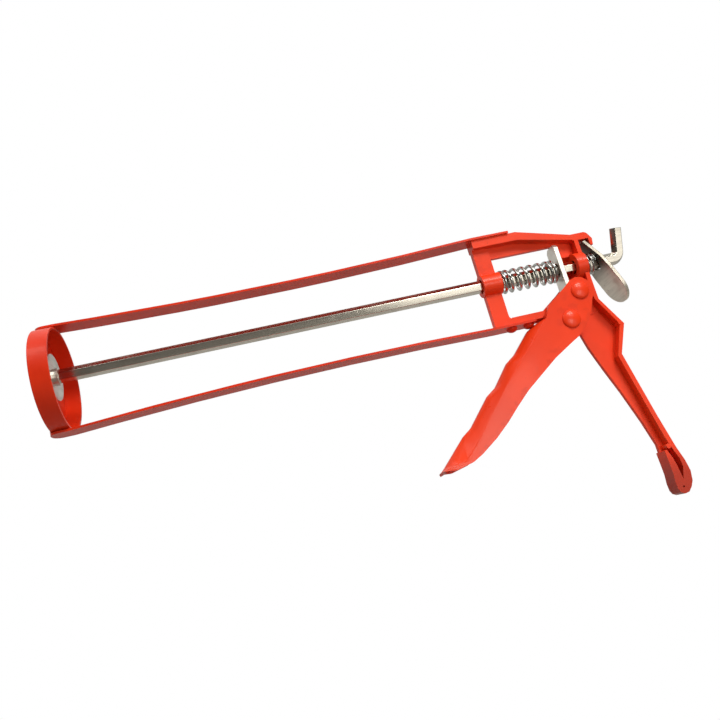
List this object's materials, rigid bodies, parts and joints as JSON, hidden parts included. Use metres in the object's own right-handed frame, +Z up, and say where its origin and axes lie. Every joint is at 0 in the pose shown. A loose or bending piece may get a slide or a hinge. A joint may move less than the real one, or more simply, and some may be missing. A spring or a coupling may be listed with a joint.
{
  "type": "caulking gun",
  "caption": "Open-frame caulking gun: red strap frame with a front ring, hexagonal push rod, squeeze trigger and thumb release plate.",
  "frame": {"origin": "centre of the nozzle hole at the front face of the front plate", "axes": "+X runs back along the push rod towards the pull hook, +Z is up with the grip pointing down, +Y is on the right of whoever holds it"},
  "size_m": [0.3258, 0.0544, 0.1646],
  "materials": {
    "red_paint": "gloss",
    "red_casting": "gloss",
    "zinc_plate": "satin",
    "rod_steel": "satin",
    "spring_steel": "gloss"
  },
  "bodies": {
    "frame": {"front_band": "red_paint", "front_plate": "red_paint", "top_strap": "red_paint", "bottom_strap": "red_paint", "top_rivet_front": "red_paint", "top_rivet_rear": "red_paint", "bottom_rivet_front": "red_paint", "bottom_rivet_rear": "red_paint", "handle_casting": "red_casting", "main_spring": "spring_steel", "release_spring": "spring_steel"},
    "rod": {"push_rod": "rod_steel", "push_plate": "zinc_plate", "push_plate_collar": "zinc_plate", "push_plate_nut": "zinc_plate"},
    "trigger": {"trigger": "red_casting", "pivot_rivet": "red_casting", "drive_rivet": "red_casting", "drive_sleeve": "zinc_plate"},
    "drive": {"drive_plate": "zinc_plate"},
    "release": {"release_plate": "zinc_plate"}
  },
  "joints": [
    {"name": "rod_slide", "type": "slide", "parent": "frame", "child": "rod", "axis": [1, 0, 0], "range_m": [0, 0.225]},
    {"name": "trigger_squeeze", "type": "hinge", "parent": "frame", "child": "trigger", "pos_m": [0.2766, 0, -0.0292], "axis": [0, -1, 0], "range_deg": [0, 42], "stiffness_Nm_per_rad": 0.4, "springref_deg": -20.05},
    {"name": "drive_travel", "type": "slide", "parent": "frame", "child": "drive", "axis": [-1, 0, 0], "range_m": [0, 0.0127], "deforming": ["main_spring"]},
    {"name": "release_press", "type": "hinge", "parent": "frame", "child": "release", "pos_m": [0.3004, 0, 0.015], "axis": [0, 1, 0], "range_deg": [0, 8], "stiffness_Nm_per_rad": 0.1, "springref_deg": -8.59, "deforming": ["release_spring"]}
  ],
  "couplings": [
    {"joint": "drive_travel", "follows": "trigger_squeeze", "m_per_rad": 0.0172}
  ]
}
